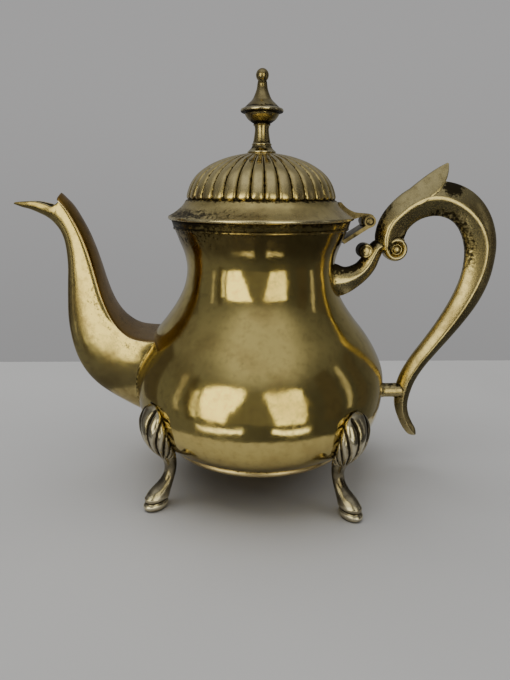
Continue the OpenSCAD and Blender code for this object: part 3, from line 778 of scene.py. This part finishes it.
def leg_mesh():
    """Points, faces and marks of one leg standing at +X. Its ribs fan out from a focus at the ankle."""
    stations = np.vstack([curve(LEG_POINTS, 12)[:-1], curve([LEG_POINTS[-1]] + FOOT_POINTS, 4)])
    n, rib_height, groove_z = 112, 1.3, 5.2
    a = np.linspace(-math.pi, math.pi, n, endpoint=False) + math.pi / n
    centre = stations[:, :2]
    travelled = np.concatenate([[0], np.cumsum(np.linalg.norm(np.diff(centre, axis=0), axis=1))])
    focus = np.interp(FOCUS_Z, centre[::-1, 1], travelled[::-1])
    rings, grime, wear, stain = [], [], [], []
    for (x, z, tilt, depth, width), s in zip(stations, travelled):
        width = width * KNEE_W
        lateral = a * (depth + width) / 2 * 1.05
        up = focus - s
        radius = np.hypot(lateral, up)
        bearing = np.arctan2(lateral, up + 1.5)
        phase = bearing / RIB_ANGLE
        u = np.abs(phase - np.round(phase)) * 2
        lobe = (1 - u**2.4)**0.8
        size = min(depth * 0.24, rib_height) * smoothstep(radius, 2.0, 8.0) * smoothstep(up, -2.5, 3.5)
        size = size * smoothstep(math.pi * 0.66 - np.abs(a), 0, 0.25)
        rise = size * (lobe - 0.85)
        tilt = math.radians(tilt)
        out, side = (depth + rise) * np.cos(a), (width + rise) * np.sin(a)
        rings.append(np.column_stack([x + out * math.cos(tilt), side, z + out * math.sin(tilt)]))
        in_shell = smoothstep(size, 0.2, 0.9)
        # the dark ankle is partly tarnish and partly a painted dark reflection
        ankle = smoothstep(-z, -30, -25) * smoothstep(z, 7, 12)
        grime.append(np.clip(in_shell * smoothstep(u, 0.62, 0.95) * 1.1, 0, 1))
        stain.append(np.full(n, ankle * 0.85))
        wear.append(in_shell * smoothstep(-u, -0.6, 0) * 0.7)
    grime, wear = np.array(grime), np.array(wear)
    z = stations[:, 1][:, None]
    grime = np.maximum(grime, np.exp(-((z - groove_z) / 0.55)**2) * 0.95)
    grime = np.maximum(grime, smoothstep(-z, -1.0, -0.2) * 0.8)
    wear = np.maximum(wear, np.exp(-((z - 2.9) / 1.1)**2) * 0.9 + np.exp(-((z - 7.2) / 0.7)**2) * 0.6)
    points, faces = loft(rings)
    return points, faces, {"grime": grime, "wear": wear, "stain": np.array(stain)}


def make_legs():
    points, faces, marks = leg_mesh()
    legs = []
    for node, bearing in LEG_BEARINGS.items():
        turn = math.radians(bearing - LEG_TURN)
        c, s = math.cos(turn), math.sin(turn)
        turned = np.column_stack([points[:, 0] * c - points[:, 1] * s, points[:, 0] * s + points[:, 1] * c,
                                  points[:, 2]])
        leg = make_piece(node + "_shell", outside_body(turned), faces, sharp=70, **marks)
        legs.append(place(leg, POT, LEG_BRASS, [node]))
    return legs


# ------------ lid and finial

LID_LOW = box_mm("lid_flange")[0][2]
DOME_Z = 167
FLARE_LINE = curve([(52.1, 158.65), (49.4, 160.2), (46.9, 162), (44.2, 164.5), (42.6, DOME_Z)], 8)
DOME_POINTS = [
    (42.4, DOME_Z), (42.2, 168.5), (41.3, 172), (39.4, 176.4), (36.2, 180.6), (31.8, 184.1), (25.6, 187.5),
    (17.5, 190.3), (9, 192),
]
LID_WALL = 1.2
GADROONS = 36
GADROON_DEPTH = 1.35


def make_flange():
    bead_r = 1.1
    bead_at = (51.7, LID_LOW + bead_r)
    inner = shifted(FLARE_LINE, LID_WALL)
    outline = np.vstack([[(DOME_POINTS[0][0] - LID_WALL, DOME_Z), DOME_POINTS[0]],
                         FLARE_LINE[::-1][1:], arc(bead_at, bead_r, 60, -190, 22), inner[:-1]])
    points, faces = lathe(outline, BODY_SEGMENTS)
    r, z = axis_distance(points), points[:, 2]
    left = near_bearing(points, -150, 45)
    bead = np.exp(-(((z - LID_LOW - bead_r) / 0.75)**2)) * (r > 52)
    band = np.exp(-((z - 160.5) / 2.0)**2) * 0.25
    grime = np.clip(0.4 * band + 0.45 * left * smoothstep(-z, -166, -160), 0, 0.8) * (r > 43.5) * (1 - bead)
    flange = make_piece("lid_flare", points, faces, grime=grime, wear=bead * 0.85)
    return place(flange, LID, LID_BRASS, ["lid_flange"])


def make_dome():
    """Dome with gadroons that start round at its foot and fade out under the finial."""
    line = curve(DOME_POINTS, 9)
    run = np.concatenate([[0], np.cumsum(np.linalg.norm(np.diff(line, axis=0), axis=1))])
    n = GADROONS * 16
    a = np.linspace(0, 2 * math.pi, n, endpoint=False)
    u = np.abs((a * GADROONS / (2 * math.pi)) % 1 - 0.5) * 2
    along = np.gradient(line, axis=0)
    along /= np.linalg.norm(along, axis=1)[:, None]
    rings, grime, wear = [], [], []
    for (r, z), (dr, dz), s in zip(line, along, run):
        half = math.pi * r / GADROONS
        start = np.clip((2.6 - s) / 2.0, 0, 1)
        top = smoothstep(s, run[-1] - 1.5, run[-1] - 9)
        inside = np.clip(1 - u**3.2 - start**2, 0, 1)**0.6
        flat = smoothstep(s, 0.0, 0.9)
        sink = min(GADROON_DEPTH, half * 0.42) * top * (1 - inside) * flat
        rings.append(np.column_stack([(r - sink * dz) * np.cos(a), (r - sink * dz) * np.sin(a),
                                      z + sink * dr * np.ones(n)]))
        valley = (1 - inside)**1.5 * top
        grime.append(np.clip(valley * 0.95 * flat + (1 - top) * 0.25, 0, 1))
        wear.append(smoothstep(inside, 0.75, 1) * top * 0.2)
    inner = shifted(line, GADROON_DEPTH + LID_WALL / 2)
    crown_z, screw_r = DOME_POINTS[-1][1], 2.3
    inner = inner[inner[:, 1] < crown_z - LID_WALL]
    for r, z in np.vstack([[(screw_r, crown_z), (screw_r, crown_z - LID_WALL)], inner[::-1]]):
        rings.append(np.column_stack([r * np.cos(a), r * np.sin(a), np.full(n, z)]))
        grime.append(np.full(n, 0.35))
        wear.append(np.zeros(n))
    rings = np.array(rings)
    points = rings.reshape(-1, 3)
    faces = grid_faces(len(rings), n, closed_rows=True)
    dome = make_piece("lid_dome_gadrooned", points, faces, sharp=60,
                      grime=np.concatenate(grime), wear=np.concatenate(wear))
    return place(dome, LID, LID_BRASS, ["lid_dome"])


def make_locating_ring():
    inner = shifted(FLARE_LINE, LID_WALL)
    foot = box_mm("lid_locating_ring")[0][2]
    outer_r, inner_r = 46.0, 45.05
    edge_r = (outer_r - inner_r) / 2
    top = float(np.interp(-outer_r, -inner[:, 0], inner[:, 1]))
    lower = arc((inner_r + edge_r, foot + edge_r), edge_r, -180, 0, 8)
    outline = np.vstack([lower, [(outer_r, top + 0.3), (inner_r, top + 0.9)]])
    ring = make_piece("lid_ring", *lathe(outline, BODY_SEGMENTS))
    return place(ring, LID, LID_BRASS, ["lid_locating_ring"])


def make_finial():
    low = DOME_POINTS[-1][1]
    top = box_mm("finial")[1][2]
    joint_z, ball_r = 196.2, 3.45
    foot = np.vstack([[(0, low), (7.6, low)], arc((7.35, 192.7), 0.6, -70, 75, 8),
                      curve([(7.1, 193.7), (6.2, 194.5), (5.6, 195.4), (5.25, joint_z)], 4)])
    collar_points, collar_faces = lathe(np.vstack([foot, [(0, joint_z)]]), 96)
    collar = make_piece("finial_foot", collar_points, collar_faces,
                        grime=np.exp(-((collar_points[:, 2] - 195.2) / 1.0)**2) * 0.5,
                        wear=np.exp(-((collar_points[:, 2] - 192.8) / 0.5)**2) * 0.8)
    place(collar, LID, FINIAL_BRASS, ["finial_collar"])
    outline = np.vstack([
        [(0, joint_z), (5.0, joint_z)], arc((4.95, 196.75), 0.55, -80, 80, 8),
        curve([(4.85, 197.6), (4.3, 200.5), (3.85, 204.2), (4.15, 206.3)], 6),
        arc((4.35, 206.85), 0.4, -75, 75, 6),
        curve([(4.5, 207.5), (6.3, 208.6), (8.0, 210.0), (9.1, 211.6), (9.5, 212.7)], 6),
        arc((10.75, 213.95), 1.0, -80, 75, 12),
        curve([(9.6, 215.5), (7.6, 217.4), (5.3, 219.6), (3.9, 222.4), (3, 225), (2.65, 227.6)], 6),
        arc((0, top - ball_r), ball_r, -48, 90, 22)[:-1], [(0, top)],
    ])
    points, faces = lathe(outline, 128)
    z, r = points[:, 2], axis_distance(points)
    # [height, half height, strength]
    hollows = [(197.9, 0.7, 0.5), (207.6, 0.8, 0.8), (212.8, 0.6, 0.9), (228.3, 1.0, 0.6), (215.7, 0.7, 0.5)]
    grime = np.clip(sum(v * np.exp(-((z - c) / w)**2) for c, w, v in hollows)
                    + 0.3 * smoothstep(-z, -213, -208) * (z > 207), 0, 1)
    wear = np.exp(-((z - 214.1) / 0.6)**2) * (r > 10.5) + np.exp(-((z - 196.75) / 0.4)**2) * 0.7
    finial = make_piece("finial_knob", points, faces, grime=grime, wear=np.clip(wear, 0, 1) * 0.85)
    return place(finial, LID, FINIAL_BRASS, ["finial"])


# ------------ grime where pieces meet

def contact_grime(pieces, reach=1.7, darkest=0.6, dulling=0.8):
    """Darkens and dulls each piece's surface within reach of the pieces of its own body that it meets."""
    graph = bpy.context.evaluated_depsgraph_get()
    trees = {p.name: BVHTree.FromObject(p, graph) for p in pieces}
    boxes = {}
    for p in pieces:
        co = np.array([v.co for v in p.data.vertices])
        boxes[p.name] = (co, co.min(0) - reach * MM, co.max(0) + reach * MM)
    for p in pieces:
        co = boxes[p.name][0]
        values = np.zeros(len(co))
        for q in pieces:
            low, high = boxes[q.name][1:]
            if q is p or q["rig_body"] != p["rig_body"]:
                continue
            for i in np.nonzero(((co > low) & (co < high)).all(1))[0]:
                distance = trees[q.name].find_nearest(Vector(co[i]), reach * MM)[3]
                if distance is not None:
                    values[i] = max(values[i], (1 - distance / (reach * MM))**1.3)
        set_mark(p.data, "grime", np.maximum(get_mark(p.data, "grime"), darkest * values))
        if p.data.attributes.get("wear"):
            set_mark(p.data, "wear", get_mark(p.data, "wear") * (1 - dulling * values))


# ------------ build the pot

contact_grime([make_body(), make_base(), make_handle(), make_volute(), make_upper_bracket(),
               make_lower_bracket(), *make_legs(), make_flange(), make_dome()])
make_spout()
make_plate()
make_spout_solder()
make_collar()
make_volute_pin()
make_locating_ring()
make_finial()
for hinge_node in ("hinge_lid_leaf", "hinge_body_leaf", "hinge_pin"):
    finish_node(hinge_node, HINGE_BRASS)
for inner_node in ("finial_washer", "finial_screw"):
    finish_node(inner_node, FINIAL_BRASS)


# ------------ floor, light and camera

def make_stage_mesh(name, corners, material, **visible):
    """Flat piece of the studio. visible says which kinds of ray don't see it."""
    mesh = bpy.data.meshes.new(name)
    mesh.from_pydata([tuple(c) for c in corners], [], [tuple(range(len(corners)))])
    mesh.materials.append(material)
    obj = bpy.data.objects.new(name, mesh)
    bpy.context.scene.collection.objects.link(obj)
    for key, value in visible.items():
        setattr(obj, "visible_" + key, value)


def floor_material():
    made_floor = bpy.data.materials.new("floor")
    made_floor.use_nodes = True
    tree = made_floor.node_tree
    shader = tree.nodes["Principled BSDF"]
    at = add(tree, "ShaderNodeTexCoord").outputs["Object"]
    tone = remap(tree, noise(tree, at, 3, 3), 0.3, 0.7)
    tree.links.new(mix(tree, tone, (0.5, 0.495, 0.485), (0.54, 0.535, 0.525)), shader.inputs["Base Color"])
    shader.inputs["Roughness"].default_value = 0.7
    shader.inputs["Specular IOR Level"].default_value = 0.0
    return made_floor


def glow_material(name, colour, strength):
    made_glow = bpy.data.materials.new(name)
    made_glow.use_nodes = True
    tree = made_glow.node_tree
    tree.nodes.clear()
    glow = add(tree, "ShaderNodeEmission", {"Color": (*colour, 1), "Strength": strength})
    out = add(tree, "ShaderNodeOutputMaterial")
    tree.links.new(glow.outputs[0], out.inputs["Surface"])
    made_glow.cycles.emission_sampling = "NONE"
    return made_glow


ONLY_REFLECTED = {"camera": False, "diffuse": False, "shadow": False}


def make_floor():
    """Floor with a straight far edge, and the disc of it that shows in the brass."""
    floor = floor_material()
    far, edge, disc_r, lift = 3.0, 0.21, 0.135, 0.0003
    make_stage_mesh("floor", [(-far, -far, 0), (far, -far, 0), (far, edge, 0), (-far, edge, 0)], floor,
                    glossy=False)
    around = np.linspace(0, 2 * math.pi, 64, endpoint=False)
    disc = [(disc_r * math.cos(a), disc_r * math.sin(a), lift) for a in around]
    make_stage_mesh("floor_in_reflections", disc, floor, **ONLY_REFLECTED)


def make_round_panel(name, glow, away, bearing, width, low, high):
    """Upright panel at a distance from the pot's axis. Its bearing and width are degrees from -Y to +X."""
    ends = [math.radians(bearing - width / 2), math.radians(bearing + width / 2)]
    left, right = [(away * math.sin(b), -away * math.cos(b)) for b in ends]
    corners = [(*left, low), (*right, low), (*right, high), (*left, high)]
    make_stage_mesh(name, corners, glow, **ONLY_REFLECTED)


def make_softboxes():
    """Soft boxes in front of the pot and panels round it, seen only in the brass."""
    distance = -1.07
    pane = glow_material("softbox", (1.0, 0.93, 0.62), 2.6)
    soft_pane = glow_material("soft_softbox", (1.0, 0.93, 0.62), 2.0)
    strip = glow_material("strip", (1.0, 0.97, 0.8), 2.6)
    faint_pane = glow_material("faint_softbox", (1.0, 0.95, 0.7), 1.2)
    dim = glow_material("side_strip", (1.0, 0.96, 0.85), 0.55)
    dark = glow_material("dark_panel", (1.0, 0.9, 0.8), 0.08)
    shade = glow_material("gap_panel", (1.0, 0.97, 0.85), 0.17)
    front = {
        "softbox_left": (pane, [(-1.4, -0.52), (-0.66, -0.42), (-0.28, 0.72), (-1.4, 0.88)]),
        "softbox_far_left": (faint_pane, [(-2.5, -0.8), (-1.6, -0.6), (-1.6, 0.8), (-2.5, 1.0)]),
        "softbox_right": (soft_pane, [(0.24, -0.36), (0.78, -0.44), (0.78, 0.72), (0.06, 0.66)]),
        "gap_panel": (shade, [(-0.65, -0.4), (0.23, -0.36), (0.05, 0.66), (-0.23, 0.72)]),
    }
    for name, (glow, corners) in front.items():
        make_stage_mesh(name, [(x, distance, z) for x, z in corners], glow, **ONLY_REFLECTED)
    # [name, glow, bearing, width, lowest, highest]
    round_the_side = [
        ("side_dark_right", dark, 62, 16, -0.5, 0.9), ("side_strip_right", dim, 80, 5, -0.3, 0.8),
        ("side_dark_far_right", dark, 97, 14, -0.4, 0.7), ("side_dark_left", dark, -112, 22, -0.4, 0.7),
        ("side_strip_left", dim, -76, 4, -0.3, 0.7), ("side_dark_near_left", dark, -64, 7, -0.5, 0.8),
    ]
    for name, glow, bearing, width, low, high in round_the_side:
        make_round_panel(name, glow, 1.3, bearing, width, low, high)
    for name, bearing, width in (("strip_left", -29, 32), ("strip_right", 19, 25)):
        make_round_panel(name, strip, 0.16, bearing, width, 0.002, 0.0143)


def make_world():
    """Dim room with a lit ceiling in front, seen in the brass, and a plain grey wall for the camera."""
    world = bpy.data.worlds.new("studio")
    bpy.context.scene.world = world
    world.use_nodes = True
    tree = world.node_tree
    tree.nodes.clear()
    split = add(tree, "ShaderNodeSeparateXYZ", {0: add(tree, "ShaderNodeTexCoord").outputs["Generated"]})
    x, y, z = split.outputs
    left = remap(tree, x, 0.3, -0.9, 0.07, 0.15)
    behind = remap(tree, y, 0.2, 0.9, 0.0, 0.14)
    ceiling = remap(tree, z, 0.3, 0.85, 0.0, 0.12)
    middle = remap(tree, calc(tree, "ABSOLUTE", x, 0.0), 0.75, 0.3)
    front = calc(tree, "MULTIPLY", remap(tree, y, 0.45, -0.15), remap(tree, z, 0.45, 0.75, 0.0, 0.37))
    front = calc(tree, "MULTIPLY", front, middle)
    level = calc(tree, "ADD", calc(tree, "ADD", left, behind), calc(tree, "ADD", ceiling, front))
    room = add(tree, "ShaderNodeBackground", {"Color": (0.98, 0.99, 1.0, 1), "Strength": level})
    shown = add(tree, "ShaderNodeBackground", {
        "Color": (0.40, 0.395, 0.395, 1), "Strength": remap(tree, z, -0.45, 0.25, 0.75, 1.0)})
    seen = add(tree, "ShaderNodeLightPath").outputs["Is Camera Ray"]
    both = add(tree, "ShaderNodeMixShader", {0: seen, 1: room.outputs[0], 2: shown.outputs[0]})
    out = add(tree, "ShaderNodeOutputWorld")
    tree.links.new(both.outputs[0], out.inputs["Surface"])


def make_light(name, place_at, aim, size, power, glossy):
    data = bpy.data.lights.new(name, "AREA")
    data.shape, data.size, data.energy = "SQUARE", size, power
    light = bpy.data.objects.new(name, data)
    light.location = place_at
    light.rotation_mode = "QUATERNION"
    light.rotation_quaternion = (Vector(aim) - Vector(place_at)).to_track_quat("-Z", "Y")
    light.visible_glossy = glossy
    bpy.context.scene.collection.objects.link(light)


def make_camera():
    place_at, looking, down, roll = (-0.0126, -0.3013, 0.1717), (0.032, 0.9995), 16.18, 0.41
    data = bpy.data.cameras.new("camera")
    data.sensor_width, data.lens = 36, 27.05
    data.clip_start, data.clip_end = 0.01, 20
    camera = bpy.data.objects.new("camera", data)
    bpy.context.scene.collection.objects.link(camera)
    heading, pitch = -math.atan2(*looking), math.radians(90 - down)
    camera.matrix_world = (Matrix.Translation(place_at) @ Matrix.Rotation(heading, 4, "Z")
                           @ Matrix.Rotation(pitch, 4, "X") @ Matrix.Rotation(math.radians(roll), 4, "Z"))
    bpy.context.scene.camera = camera


make_floor()
make_softboxes()
make_world()
make_light("top_light", (-0.3, 0.15, 1.3), (0, 0.05, 0.1), 1.4, 14, False)
make_light("fill_light", (0.9, -0.2, 0.9), (0, 0, 0.1), 0.8, 2.5, False)
make_camera()
